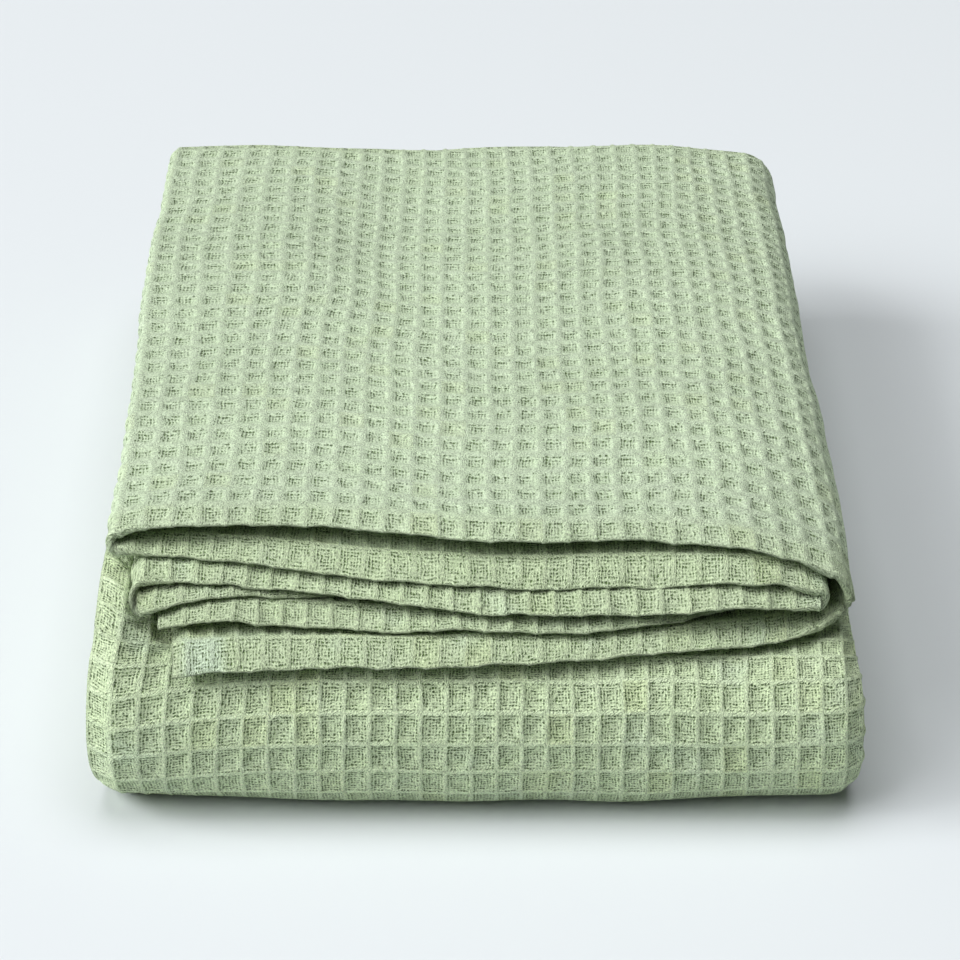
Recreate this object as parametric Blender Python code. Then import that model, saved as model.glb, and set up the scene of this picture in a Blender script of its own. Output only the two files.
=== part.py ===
# Folded waffle weave cotton blanket.
#
# The cloth is folded side to side into a strip of six layers, turning at the right and at the left by
# turns. The strip is then folded in thirds along its length. It lies as a squat block with one thick
# rounded fold low at the front, one high at the back, and the hem ends of the top third fanned out in
# steps over the front fold. The blanket is one sheet of cloth, so it is one solid.
#
# Sizes are in millimetres. A place on the cloth is given by its station along the strip and its place
# in the strip's cross-section: x across, and height in the stack of six layers.

import bmesh
import bpy
import numpy as np

MM = 0.001

SHEET = 3.2  # thickness of the waffle cloth
PITCH = 4.85  # one layer to the next
LAYERS = 6
STACK = LAYERS * PITCH  # height of the strip
NIP = 1.1  # half of the gap between one third and the next
FRONT_TURN = 30.8  # where the strip starts to turn at the front
BACK_TURN = 426.0  # and at the back
BACK_ROUND = 2.1  # 2 is a true half circle, more is squarer
FRONT_ROUND = 2.4
SOLE_DROP = (PITCH - SHEET) / 2  # brings the lowest layer down to the ground

# Stations along the strip: 0 to 1 is the top third, from its hem to the back fold. 1 to 2 is the back
# fold, 2 to 3 the middle third, 3 to 4 the front fold, and 4 to 5 the bottom third, to the other hem.
STATIONS = np.concatenate([
    [0.0, 0.05, 0.12, 0.22, 0.38, 0.6, 0.82],
    np.linspace(1, 2, 9),
    [2.25, 2.5, 2.68, 2.84],
    np.linspace(3, 4, 9),
    [4.25, 4.5, 4.75, 5.0],
])

# How far each fold or free edge of the strip reaches across, at stations along it. "top" is the fold of
# the top layer into the second, "mid" the fold of the third into the fourth, "tail" and "base" the free
# edges of the fifth and the lowest layer. "outer", "inner" and "core" are the folds at the right, from
# the outside in. "drop" is how far the upper layers come down over the ends of the short inner ones.
REACH_COLUMNS = ("station", "top", "mid", "tail", "base", "outer", "inner", "core", "drop")
REACH = np.array([
    (0.00, -135.5, -126, -115, -105, 136.5, 126, 96, 9.4),
    (0.20, -136.5, -128, -120, -114, 135.5, 125, 98, 9.0),
    (0.40, -138.5, -131, -125, -122, 135.0, 125, 100, 8.0),
    (0.85, -141.5, -134, -129, -128, 136.0, 126, 104, 6.0),
    (1.00, -141.0, -134, -129, -129, 134.5, 126, 104, 5.0),
    (1.50, -139.0, -133, -130, -131, 132.5, 125, 104, 4.0),
    (2.00, -139.0, -134, -130, -133, 134.0, 126, 104, 3.0),
    (2.70, -137.0, -133, -130, -135, 135.0, 127, 106, 3.0),
    (3.00, -136.0, -132, -129, -136, 134.5, 126, 106, 3.0),
    (3.50, -137.0, -133, -130, -139, 137.5, 128, 106, 3.0),
    (4.00, -135.0, -131, -128, -135, 134.5, 126, 104, 3.0),
    (5.00, -136.0, -131, -128, -134, 134.0, 125, 102, 3.0),
])

# The hem ends of the top third, from the lowest layer up: how far each lies back from the front, and
# how far it stands off the layer below, at six places across.
ACROSS = (-135, -105, -70, 0, 70, 130)
HEM_BACK = np.array([
    (0, 1, 5, 8, 18, 46),
    (24, 29, 29, 23, 34, 50),
    (30, 38, 42, 40, 42, 50),
    (42, 37, 33, 19, 19, 46),
    (52, 47, 40, 25, 27, 46),
    (62, 62, 62, 50, 49, 48),
])
HEM_LIFT = np.array([
    (0, 0, 0, 0, 0, 0),
    (0, 0, 0, 0, 0, 0),
    (0, 0, 0, 0, 0, 0),
    (3, 2.6, 1.8, 1, 0.5, 0),
    (3.5, 3, 2.5, 2, 1.5, 0.5),
    (3.5, 5, 6, 4.5, 3, 0.5),
])
HEM_FADE = 0.3  # the station where the layers lie together again
DROP_FROM, DROP_OVER = 94, 38  # where the upper layers start to come down, and over what width

# Places across where each layer bends, from the lowest layer up.
LONG_PLACES = (-104, -52, 0, 47, 94, 106, 118)
SHORT_PLACES = (-121, -104, -52, 0, 47)
LAYER_PLACES = (
    SHORT_PLACES + (94, 112), SHORT_PLACES, SHORT_PLACES, LONG_PLACES, LONG_PLACES, LONG_PLACES,
)

# The left end of the middle third swells up beside the stepped hem ends.
CHEEK_RISE, CHEEK_FROM, CHEEK_WIDTH = 19, -107, 33
CHEEK_STATIONS = (2.2, 2.4, 2.6, 2.8, 3.0, 3.2, 3.5)
CHEEK_SHARE = (0.0, 0.04, 0.14, 0.55, 1.0, 0.8, 0.0)

# Soft rises and hollows of the top, each a smooth round one: x, y, half widths across and along, rise.
SWELLS = (
    (-95, 330, 60, 190, 2.2),
    (-38, 360, 26, 130, -2.0),
    (75, 360, 75, 170, 2.8),
    (20, 190, 120, 110, 1.2),
    (-60, 100, 90, 40, -1.0),
    (128, 450, 30, 60, -1.5),
)

COTTON = {"colour": (0.52, 0.61, 0.45, 1), "roughness": 0.95}


def smooth(share):
    share = np.clip(share, 0, 1)
    return share * share * (3 - 2 * share)


def reach(name, station):
    return np.interp(station, REACH[:, 0], REACH[:, REACH_COLUMNS.index(name)])


def across_and_up(table, x, layer):
    """Reads a table of the six layers at any place across and any height between layers."""
    rows = np.array([np.interp(x, ACROSS, row) for row in table])
    low = np.clip(np.floor(layer).astype(int), 0, LAYERS - 2)
    share = layer - low
    places = np.arange(len(x))
    return rows[low, places] * (1 - share) + rows[low + 1, places] * share


def layer_height(layer, x, station):
    """Height of a layer's middle in the stack, with the fanned hems and the dropped right end."""
    x = np.asarray(x, float)
    level = np.full(x.shape, float(layer))
    lift = across_and_up(HEM_LIFT, x, level) * (1 - smooth(station / HEM_FADE))
    drop = reach("drop", station) * smooth((x - DROP_FROM) / DROP_OVER) if layer > 2 else 0
    return PITCH * (layer + 0.5) + lift - drop


def panel(layer, start, end, station):
    """The middle line of one layer, from start to end across, with a point at each place of its own."""
    left, right = min(start, end), max(start, end)
    places = LAYER_PLACES[layer]
    steps = np.arange(1, len(places) + 1)
    inside = np.clip(places, left + steps, right - steps[::-1])
    x = np.concatenate([[left], inside, [right]])
    if start > end:
        x = x[::-1]
    return np.column_stack([x, layer_height(layer, x, station), np.full(len(x), layer)])


def turn(lower, upper, nose, side, station, steps):
    """The round fold between two layers, lower to upper, and where its layers start to turn."""
    edge = nose - side * SHEET / 2
    guess = edge - side * PITCH * (upper - lower) / 2
    low, high = (float(layer_height(k, [guess], station)[0]) for k in (lower, upper))
    radius = (high - low) / 2
    angle = np.linspace(-np.pi / 2, np.pi / 2, steps + 1)[1:-1]
    x = edge - side * radius * (1 - np.cos(angle))
    height = (low + high) / 2 + radius * np.sin(angle)
    layer = (lower + upper) / 2 + (upper - lower) / 2 * np.sin(angle)
    return np.column_stack([x, height, layer]), edge - side * radius


def section(station):
    """The cloth's middle line in the strip's cross-section: x, height and layer for each point."""
    outer, outer_x = turn(0, 5, reach("outer", station), 1, station, 8)
    top, top_x = turn(4, 5, reach("top", station), -1, station, 4)
    inner, inner_x = turn(3, 4, reach("inner", station), 1, station, 4)
    mid, mid_x = turn(2, 3, reach("mid", station), -1, station, 4)
    core, core_x = turn(1, 2, reach("core", station), 1, station, 4)
    return np.vstack([
        panel(0, reach("base", station), outer_x, station),
        outer,
        panel(5, outer_x, top_x, station),
        top[::-1],
        panel(4, top_x, inner_x, station),
        inner[::-1],
        panel(3, inner_x, mid_x, station),
        mid[::-1],
        panel(2, mid_x, core_x, station),
        core[::-1],
        panel(1, core_x, reach("tail", station), station),
    ])


def face_line(line, side):
    """The section's middle line moved by half the cloth's thickness to one side."""
    ahead = np.gradient(line[:, :2], axis=0)
    ahead /= np.linalg.norm(ahead, axis=1)[:, None]
    out = line.copy()
    out[:, 0] += side * SHEET / 2 * ahead[:, 1]
    out[:, 1] -= side * SHEET / 2 * ahead[:, 0]
    return out


def round_turn(share, roundness):
    """Back and up parts of a unit half turn, evenly spaced along it, from straight up to straight down."""
    angle = np.linspace(0, np.pi, 181)
    size = (np.sin(angle) ** roundness + np.abs(np.cos(angle)) ** roundness) ** (-1 / roundness)
    along, up = size * np.sin(angle), size * np.cos(angle)
    length = np.concatenate([[0], np.cumsum(np.hypot(np.diff(along), np.diff(up)))])
    return tuple(np.interp(share * length[-1], length, part) for part in (along, up))


def lay(points, station):
    """Puts the points of one section where the strip takes them."""
    x, height, layer = points.T
    hem = across_and_up(HEM_BACK, x, layer)
    cheek = CHEEK_RISE * np.interp(station, CHEEK_STATIONS, CHEEK_SHARE)
    swell = cheek * smooth((CHEEK_FROM - x) / CHEEK_WIDTH) * np.clip(1 - height / STACK, 0, 1)
    back_middle, front_middle = 2 * STACK + 3 * NIP, STACK + NIP
    if station <= 1:
        y = hem + (BACK_TURN - hem) * station
        z = 2 * STACK + 4 * NIP + height
    elif station <= 2:
        along, up = round_turn(station - 1, BACK_ROUND)
        y = BACK_TURN + (NIP + height) * along
        z = back_middle + (NIP + height) * up
    elif station <= 3:
        y = np.full(len(x), BACK_TURN + (FRONT_TURN - BACK_TURN) * (station - 2))
        z = back_middle - NIP - height + swell
    elif station <= 4:
        along, up = round_turn(station - 3, FRONT_ROUND)
        radius = STACK + NIP - height
        y = FRONT_TURN - radius * along
        z = front_middle + radius * up + swell
    else:
        far_hem = BACK_TURN + 0.9 * (hem - HEM_BACK.mean())
        y = FRONT_TURN + (far_hem - FRONT_TURN) * (station - 4)
        z = height
    return np.column_stack([x, y, z - SOLE_DROP])


def soften(points):
    """The soft rises and hollows of the top, which fade away towards the ground."""
    x, y, z = points.T
    rise = sum(
        size * np.exp(-(((x - at_x) / wide) ** 2) - ((y - at_y) / long) ** 2)
        for at_x, at_y, wide, long, size in SWELLS
    )
    points[:, 2] = z + rise * smooth(z / (3 * STACK))
    return points


def cloth_points():
    """Both faces of the folded cloth: face, station, place in the section, and x, y, z."""
    faces = []
    for side in (1, -1):
        rings = []
        for station in STATIONS:
            ring = lay(face_line(section(station), side), station)
            rings.append(soften(ring))
        faces.append(rings)
    points = np.array(faces)
    lowest, highest = points.min(axis=(0, 1, 2)), points.max(axis=(0, 1, 2))
    middle = (lowest + highest) / 2
    return points - (middle[0], middle[1], lowest[2])


def cloth_faces(rings, places):
    """Four-sided faces over both sides of the sheet and round its four edges."""
    def corner(side, ring, place):
        return (side * rings + ring) * places + place

    faces = []
    for ring in range(rings - 1):
        for place in range(places - 1):
            quad = [(ring, place), (ring, place + 1), (ring + 1, place + 1), (ring + 1, place)]
            faces.append([corner(0, *spot) for spot in quad])
            faces.append([corner(1, *spot) for spot in reversed(quad)])
    for ring in range(rings - 1):
        for place, ends in ((0, (ring, ring + 1)), (places - 1, (ring + 1, ring))):
            first, second = ends
            faces.append([corner(0, first, place), corner(0, second, place),
                          corner(1, second, place), corner(1, first, place)])
    for place in range(places - 1):
        for ring, ends in ((0, (place + 1, place)), (rings - 1, (place, place + 1))):
            first, second = ends
            faces.append([corner(0, ring, first), corner(0, ring, second),
                          corner(1, ring, second), corner(1, ring, first)])
    return faces


def cotton_material():
    material = bpy.data.materials.new("waffle_cotton")
    material.use_nodes = True
    shader = material.node_tree.nodes["Principled BSDF"]
    shader.inputs["Base Color"].default_value = COTTON["colour"]
    shader.inputs["Roughness"].default_value = COTTON["roughness"]
    shader.inputs["Metallic"].default_value = 0.0
    return material


def build_blanket():
    points = cloth_points()
    _, rings, places, _ = points.shape
    mesh = bpy.data.meshes.new("blanket")
    mesh.from_pydata((points.reshape(-1, 3) * MM).tolist(), [], cloth_faces(rings, places))
    shell = bmesh.new()
    shell.from_mesh(mesh)
    bmesh.ops.triangulate(shell, faces=shell.faces)
    bmesh.ops.recalc_face_normals(shell, faces=shell.faces)
    shell.to_mesh(mesh)
    shell.free()
    mesh.shade_smooth()
    mesh.materials.append(cotton_material())
    blanket = bpy.data.objects.new("blanket", mesh)
    bpy.context.scene.collection.objects.link(blanket)


def main():
    for item in list(bpy.data.objects):
        bpy.data.objects.remove(item, do_unlink=True)
    build_blanket()


main()
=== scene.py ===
import math

import bpy
import numpy as np
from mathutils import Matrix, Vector


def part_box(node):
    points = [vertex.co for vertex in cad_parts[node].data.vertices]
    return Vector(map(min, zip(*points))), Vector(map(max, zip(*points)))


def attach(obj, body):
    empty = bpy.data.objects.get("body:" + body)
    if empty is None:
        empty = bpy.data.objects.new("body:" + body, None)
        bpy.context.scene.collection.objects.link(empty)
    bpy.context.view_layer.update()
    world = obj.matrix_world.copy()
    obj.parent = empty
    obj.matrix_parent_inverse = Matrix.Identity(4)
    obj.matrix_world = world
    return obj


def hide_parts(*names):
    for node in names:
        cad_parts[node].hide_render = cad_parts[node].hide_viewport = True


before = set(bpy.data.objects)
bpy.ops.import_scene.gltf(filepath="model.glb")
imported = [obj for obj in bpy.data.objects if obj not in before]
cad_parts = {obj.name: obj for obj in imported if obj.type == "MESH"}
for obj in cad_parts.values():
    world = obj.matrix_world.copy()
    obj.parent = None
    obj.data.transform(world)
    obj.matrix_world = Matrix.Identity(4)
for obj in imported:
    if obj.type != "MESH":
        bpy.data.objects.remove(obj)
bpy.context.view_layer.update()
print("the frame and the solid blanket are loaded")
mm = 0.001

# The blanket is one cloth, folded side to side into a strip of six layers, and the strip is folded in
# thirds. A place on the cloth is told by its cell across the cloth, its row of cells from the hem, and
# its station along the strip: 0 to 1 top third, 2 to 3 middle third, 4 to 5 bottom third, folds between.
# Lengths are in millimetres until the meshes are made.

cloth = {
    "sheet": 3.2,  # thickness
    "pitch": 4.85,  # one layer to the next
    "layers": 6,
    "nip": 1.1,  # half the gap between one third and the next
    "frontTurn": 30.8,  # where the strip starts to turn
    "backTurn": 426.0,
    "frontRound": 2.4,  # 2 is a half circle, more is squarer
    "backRound": 2.1,
    "cell": 9.5,  # one waffle cell across, as the cloth's unevenness is measured
    "row": 13.1,  # and along
    "rows": 107,
    "topCells": 27,  # cells across the top layer
}
stack = cloth["layers"] * cloth["pitch"]
soleDrop = (cloth["pitch"] - cloth["sheet"]) / 2


def smooth(share):
    share = np.clip(share, 0, 1)
    return share * share * (3 - 2 * share)


def fading(value, start, over):
    # 1 up to the start, then softly down to 0
    return 1 - smooth((value - start) / over)


def readCurve(at, places, values):
    # a soft curve through the values, level beyond its ends
    places, values = np.asarray(places, float), np.asarray(values, float)
    slope = np.gradient(values, places)
    spot = np.clip(np.searchsorted(places, at, side="right") - 1, 0, len(places) - 2)
    gap = places[spot + 1] - places[spot]
    t = np.clip((at - places[spot]) / gap, 0, 1)
    return ((1 + 2 * t) * (1 - t) ** 2 * values[spot] + t * (1 - t) ** 2 * gap * slope[spot]
            + t * t * (3 - 2 * t) * values[spot + 1] + t * t * (t - 1) * gap * slope[spot + 1])


def softNoise(across, along, wave, seed):
    # waves of about one length in seven random directions
    rng = np.random.default_rng(seed)
    total = 0
    for _ in range(7):
        angle, phase = rng.uniform(0, 2 * np.pi, 2)
        turns = 2 * np.pi * rng.uniform(0.6, 1.5) / wave
        total = total + np.sin(turns * (across * np.cos(angle) + along * np.sin(angle)) + phase)
    return total / 3.5


# How far the folds and free edges reach across, at stations along the strip.
reachNames = ("station", "top", "mid", "tail", "base", "outer", "inner", "core", "drop")
reachTable = np.array([
    (0.00, -135.5, -126, -115, -108.6, 136.5, 126, 96, 12.5),
    (0.20, -136.5, -128, -120, -114, 136.6, 125, 98, 10.0),
    (0.40, -138.5, -131, -125, -122, 135.4, 125, 100, 7.5),
    (0.85, -141.5, -134, -129, -128, 133.6, 124, 104, 5.0),
    (1.00, -141.0, -134, -129, -129, 133.2, 124, 104, 4.2),
    (1.50, -139.0, -133, -130, -131, 132.5, 125, 104, 4.0),
    (2.00, -139.0, -134, -130, -133, 134.0, 126, 104, 4.0),
    (2.70, -137.0, -133, -130, -135, 137.0, 128, 106, 4.0),
    (3.00, -134.0, -131, -127, -138, 138.0, 129, 106, 4.0),
    (3.50, -134.0, -131, -127, -140.5, 138.8, 129, 106, 4.0),
    (4.00, -134.0, -130, -127, -137, 137.2, 128, 104, 4.0),
    (5.00, -136.0, -131, -128, -134, 134.0, 125, 102, 4.0),
])


def reach(name, station):
    return readCurve(station, reachTable[:, 0], reachTable[:, reachNames.index(name)])


# The fanned hem ends of the six layers, lowest first, at places across.
hems = {
    "places": (-138, -122, -92, -70, 0, 70, 100, 118, 130),
    "back": (  # how far back each hem lies
        (5, 5.5, 9.2, 10.4, 11.8, 19.5, 24.7, 31, 41),
        (27, 26.5, 27.4, 27.7, 23.6, 30.5, 45, 47, 47),
        (31, 31, 38.7, 41.8, 46, 46, 47, 47, 47),
        (43.4, 43.4, 42.7, 41.4, 27.9, 27.3, 30, 35, 41),
        (54.2, 54, 50.3, 46.9, 36.1, 37.5, 37, 40, 43),
        (59.5, 58.6, 60, 60, 48.4, 51, 48.5, 47, 46),
    ),
    "curl": (  # how far each hem bends down over its last few millimetres
        (5, 4.9, 4.5, 4, 3, 2, 1.5, 1, 0.5),
        (1.2, 1.2, 1, 1, 1, 1, 1, 0.8, 0.5),
        (2.5, 1.6, 0.9, 0.8, 0.8, 0.8, 0.8, 0.8, 0.5),
        (1.5, 2, 2.6, 3, 3, 3.5, 2.2, 1.1, 0.5),
        (0.5, 0.8, 1.6, 2.5, 4.3, 4.3, 2.6, 1.2, 0.5),
        (0.8, 0.9, 1.2, 1.5, 1.7, 1.7, 1.3, 0.9, 0.5),
    ),
    "rise": (  # and how far it is humped up before that
        (0, 0, 0, 0, 0, 0, 0, 0, 0),
        (0, 0, 0, 0, 0, 0, 0, 0, 0),
        (0, 0, 0, 0, 0, 0, 0, 0, 0),
        (0.5, 0.7, 0.4, 0, 0, 0, 0, 0, 0),
        (0, 0, 0, 0, 0, 0, 0, 0, 0),
        (0, 0, 0.1, 0.2, 0.3, 0.3, 0.2, 0.1, 0),
    ),
    "lift": (  # how far each layer stands off the one below
        (0, 0, 0, 0, 0, 0, 0, 0, 0),
        (0, -0.4, 2.2, 0.4, 0, 0, 0, 0, 0),
        (-0.8, -0.8, 1.0, -0.6, -0.7, -0.7, -0.5, -0.2, 0),
        (1, 0.7, 0.3, -0.5, -2, -1.5, -1.0, -0.4, 0),
        (0.5, 0.4, 0.2, 0, 0, 0, 0, 0, 0),
        (0.9, 4.3, 4.8, 5, 5, 2.4, 1.2, 0.5, 0.2),
    ),
    "curlLength": 14.0,
    "riseFrom": 0.04, "riseOver": 0.16,  # stations over which the hump dies away
    "fade": 0.3,  # station where the layers lie together again
    "farShare": 0.9,  # how much of their unevenness the far hems have
}


def readFan(name, x, layer):
    # one of the tables above, read between its places and between the layers
    rows = [readCurve(x, hems["places"], row) for row in hems[name]]
    total = 0
    for number, row in enumerate(rows):
        total = total + row * np.clip(1 - np.abs(layer - number), 0, 1)
    return total


lie = {
    "dropFrom": 84, "dropOver": 52,  # where the upper layers come down over the short inner ends
    "lastShort": 2.01,  # the layers above this one do
    "wrap": 8.0, "wrapFrom": -129, "wrapOver": 13,  # the outermost edge tucked round the left end
    "wrapStation": 3.45, "wrapStations": 0.8,
    "lowest": 0.01,  # the wrapped edge is the lowest layer's
}


def rightDrop(x, station):
    return reach("drop", station) * np.clip((x - lie["dropFrom"]) / lie["dropOver"], 0, 1) ** 2


def layerHeight(layer, x, station):
    layer = np.broadcast_to(layer, np.shape(x)).astype(float)
    lift = readFan("lift", x, layer) * fading(station, 0, hems["fade"])
    drop = rightDrop(x, station) * (layer > lie["lastShort"])
    wrap = lie["wrap"] * smooth((lie["wrapFrom"] - x) / lie["wrapOver"])
    wrap = wrap * fading(np.abs(station - lie["wrapStation"]), 0, lie["wrapStations"])
    return cloth["pitch"] * (layer + 0.5) + lift - drop + wrap * (layer < lie["lowest"])


# The folds of the strip: lower layer, upper layer, and the side that they are on.
folds = {"outer": (0, 5, 1), "top": (4, 5, -1), "inner": (3, 4, 1), "mid": (2, 3, -1), "core": (1, 2, 1)}

# The cloth's way through the strip from its one free edge to the other. A panel has its layer and what
# it starts and ends at; a turn has its fold and whether it goes up or down. The last number is its cells.
runs = (
    ("panel", 0, "base", "outer", None),  # each piece has its own
    ("turn", "outer", 1, None, 4.67),
    ("panel", 5, "outer", "top", cloth["topCells"]),
    ("turn", "top", -1, None, 1),
    ("panel", 4, "top", "inner", 27),
    ("turn", "inner", -1, None, 1),
    ("panel", 3, "inner", "mid", 26),
    ("turn", "mid", -1, None, 1),
    ("panel", 2, "mid", "core", 23),
    ("turn", "core", -1, None, 1),
    ("panel", 1, "core", "tail", 23),
)
followCells = 7  # how many cells in from its ends a panel's columns follow its folds


def foldShape(name, station):
    # where a fold's layers start to turn, its radius and its middle height
    lower, upper, side = folds[name]
    edge = reach(name, station) - side * cloth["sheet"] / 2
    start = edge - side * cloth["pitch"] * (upper - lower) / 2
    for _ in range(4):
        low, high = layerHeight(lower, start, station), layerHeight(upper, start, station)
        radius = (high - low) / 2
        start = edge - side * radius
    return start, radius, (low + high) / 2


def limit(name, station):
    return foldShape(name, station)[0] if name in folds else reach(name, station)


def roundTurn(share, roundness):
    angle = np.linspace(0, np.pi, 361)
    size = (np.sin(angle) ** roundness + np.abs(np.cos(angle)) ** roundness) ** (-1 / roundness)
    along, up = size * np.sin(angle), size * np.cos(angle)
    length = np.concatenate([[0], np.cumsum(np.hypot(np.diff(along), np.diff(up)))])
    return [np.interp(share * length[-1], length, part) for part in (along, up)]


def sectionPlace(samples, station):
    # x, height and layer of each sample of the section at each station
    x, height, layer = (np.zeros(station.shape) for _ in range(3))
    for number, (kind, first, second, third, _) in enumerate(runs):
        here = np.flatnonzero(samples["run"] == number)
        if not len(here):
            continue
        at = station[:, here]
        count = samples["cells"][number]
        share = samples["k"][here] / count
        if kind == "panel":
            reference = samples["reference"][number]
            startHome, endHome = (float(limit(name, np.array(reference))) for name in (second, third))
            fromStart = 1 - smooth(share * count / followCells)
            fromEnd = 1 - smooth((1 - share) * count / followCells)
            x[:, here] = (startHome + (endHome - startHome) * share
                          + (limit(second, at) - startHome) * fromStart
                          + (limit(third, at) - endHome) * fromEnd)
            layer[:, here] = first
            height[:, here] = layerHeight(first, x[:, here], at)
        else:
            lower, upper, side = folds[first]
            start, radius, middle = foldShape(first, at)
            angle = (share - 0.5) * np.pi * second
            x[:, here] = start + side * radius * np.cos(angle)
            height[:, here] = middle + radius * np.sin(angle)
            if first == "outer":  # the drop runs on round the fold
                more = rightDrop(x[:, here], at) - rightDrop(start, at)
                height[:, here] -= more * (0.5 + 0.5 * np.sin(angle))
            layer[:, here] = (lower + upper) / 2 + (upper - lower) / 2 * np.sin(angle)
    return x, height, layer


bulges = {
    "cheekFrom": -109, "cheekWidth": 26,  # the swollen left end at the front
    "cheekStations": (2.45, 2.65, 2.8, 2.88, 2.93, 2.97, 3.0, 3.15, 3.35, 3.6),
    "cheekRise": (0, 6, 16, 22, 22, 18, 13, 9, 5, 0),
    "tuck": 5.0, "tuckFrom": 45, "tuckOver": 85, "tuckUp": 28,  # the ends drawn back under the front fold
    "swells": (  # soft rises and hollows of the top: x, y, half widths across and along, rise
        (-95, 330, 60, 190, 2.2),
        (-38, 360, 26, 130, -2.0),
        (75, 360, 75, 170, 2.8),
        (20, 190, 120, 110, 1.2),
        (-60, 100, 90, 40, -1.0),
        (128, 450, 30, 60, -1.5),
        (20, 128, 170, 42, 1.8),
        (0, 325, 180, 55, -1.4),
    ),
}
meanHemBack = float(np.mean(hems["back"]))


def layDown(x, height, layer, station):
    # takes the section's points to where the folded strip has them
    hem = readFan("back", x, layer)
    cheek = readCurve(station, bulges["cheekStations"], bulges["cheekRise"])
    cheek = cheek * (station > bulges["cheekStations"][0]) * (station < bulges["cheekStations"][-1])
    swell = cheek * smooth((bulges["cheekFrom"] - x) / bulges["cheekWidth"])
    swell = swell * np.clip(1 - height / stack, 0, 1)
    nip, frontTurn, backTurn = cloth["nip"], cloth["frontTurn"], cloth["backTurn"]
    backMiddle, frontMiddle = 2 * stack + 3 * nip, stack + nip
    backAlong, backUp = roundTurn(np.clip(station - 1, 0, 1), cloth["backRound"])
    frontAlong, frontUp = roundTurn(np.clip(station - 3, 0, 1), cloth["frontRound"])
    radius = stack + nip - height
    farHem = backTurn + hems["farShare"] * (hem - meanHemBack)
    parts = (
        (hem + (backTurn - hem) * station, 2 * stack + 4 * nip + height),
        (backTurn + (nip + height) * backAlong, backMiddle + (nip + height) * backUp),
        (backTurn + (frontTurn - backTurn) * (station - 2), backMiddle - nip - height + swell),
        (frontTurn - radius * frontAlong, frontMiddle + radius * frontUp + swell),
        (frontTurn + (farHem - frontTurn) * (station - 4), height + 0 * station),
    )
    third = np.clip(np.floor(station).astype(int), 0, 4)
    fromHem = np.clip((backTurn - hem) * station, 0, hems["curlLength"]) / hems["curlLength"]
    rise = readFan("rise", x, layer)
    curl = rise * (1 - (1 - fromHem) ** 2) * fading(station, hems["riseFrom"], hems["riseOver"])
    curl = curl - (readFan("curl", x, layer) - rise) * (1 - fromHem) ** 2
    y = np.choose(third, [part[0] for part in parts])
    z = np.choose(third, [part[1] for part in parts]) - soleDrop + curl * (station < 1)
    tuck = bulges["tuck"] * smooth((np.abs(x) - bulges["tuckFrom"]) / bulges["tuckOver"])
    y = y + tuck * fading(z, 0, bulges["tuckUp"]) * (station > 3)
    swelling = 0
    for atX, atY, wide, long, size in bulges["swells"]:
        swelling = swelling + size * np.exp(-(((x - atX) / wide) ** 2) - ((y - atY) / long) ** 2)
    return np.stack([x, y, z + swelling * smooth(z / (3 * stack))], axis=-1)


stationLine = np.linspace(0, 5, 301)
rowLie = {
    "pitch": (  # station, and the length of a row of cells there
        (0.0, 12.2), (0.08, 12.8), (0.17, 15.0), (0.24, 14.1), (0.31, 12.5), (0.36, 11.4), (0.42, 12.7),
        (0.52, 12.9), (0.60, 12.2), (0.70, 10.1), (0.75, 9.8), (0.80, 10.7), (1.0, 10.8), (1.5, 11.5),
        (2.5, 12.5), (2.95, 12.0), (3.1, 11.0), (4.05, 11.0), (4.5, 12.5), (5.0, 12.5)),
    "longer": 0.2, "longerUpTo": 0.03,  # rows at the hems that are not on the top layer
    "levelRow": 71.38,  # the row that lies level half way round the front fold
    "levelStations": (1.9, 1.0, 4.1, 0.8),  # where that starts, over how much, where it ends, over how much
    "droop": 0.45, "droopFrom": -70, "droopOver": 62,  # the rows hang lower at the left end, in rows
    "fitFrom": 4.1, "fitOver": 0.9,  # where the rows are fitted to the far hem
}


def stationsOfRows(samples, rows):
    # the station of each row at each sample, by the length of cloth from the hem
    stations = np.repeat(stationLine[:, None], len(samples["u"]), axis=1)
    line = layDown(*sectionPlace(samples, stations), stations)
    step = np.linalg.norm(np.diff(line, axis=0), axis=2)
    between = ((stationLine[1:] + stationLine[:-1]) / 2)[:, None]
    pitch = np.interp(between, *np.transpose(rowLie["pitch"]))
    offTop = smooth(np.maximum(-samples["u"], samples["u"] - cloth["topCells"]) / 2)
    atHem = fading(between, rowLie["longerUpTo"], rowLie["longerUpTo"])
    pitch = pitch * (1 + rowLie["longer"] * offTop * atHem)
    row = np.concatenate([np.zeros((1, line.shape[1])), np.cumsum(step / pitch, axis=0)])
    row = row + (cloth["rows"] - row[-1]) * smooth((stations - rowLie["fitFrom"]) / rowLie["fitOver"])
    # half way up the front fold the rows lie level, and droop at the left end
    front = (stationLine > 2.9) & (stationLine < 4)
    half = cloth["nip"] + stack
    start, startOver, end, endOver = rowLie["levelStations"]
    levelled = smooth((stationLine - start) / startOver) * fading(stationLine, end, endOver)
    for i in range(row.shape[1]):
        height = -line[front, i, 2]
        x = np.interp(-half, height, line[front, i, 0])
        level = rowLie["levelRow"] - rowLie["droop"] * smooth((rowLie["droopFrom"] - x) / rowLie["droopOver"])
        row[:, i] += (level - np.interp(-half, height, row[front, i])) * levelled
    return np.stack([np.interp(rows, row[:, i], stationLine) for i in range(row.shape[1])], axis=1)


# where the mesh has its lines within a cell, closest at the ribs
cellSteps = (0, 0.07, 0.125, 0.19, 0.32, 0.5, 0.68, 0.81, 0.875, 0.93)
rowSteps = (0, 0.11, 0.185, 0.26, 0.37, 0.5, 0.63, 0.74, 0.815, 0.89)
turnSteps = tuple(np.arange(10) / 10)
plainStep = 2.0  # in cells, where there are no ribs
closest = 0.02  # no two lines are nearer than this at the ends


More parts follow.
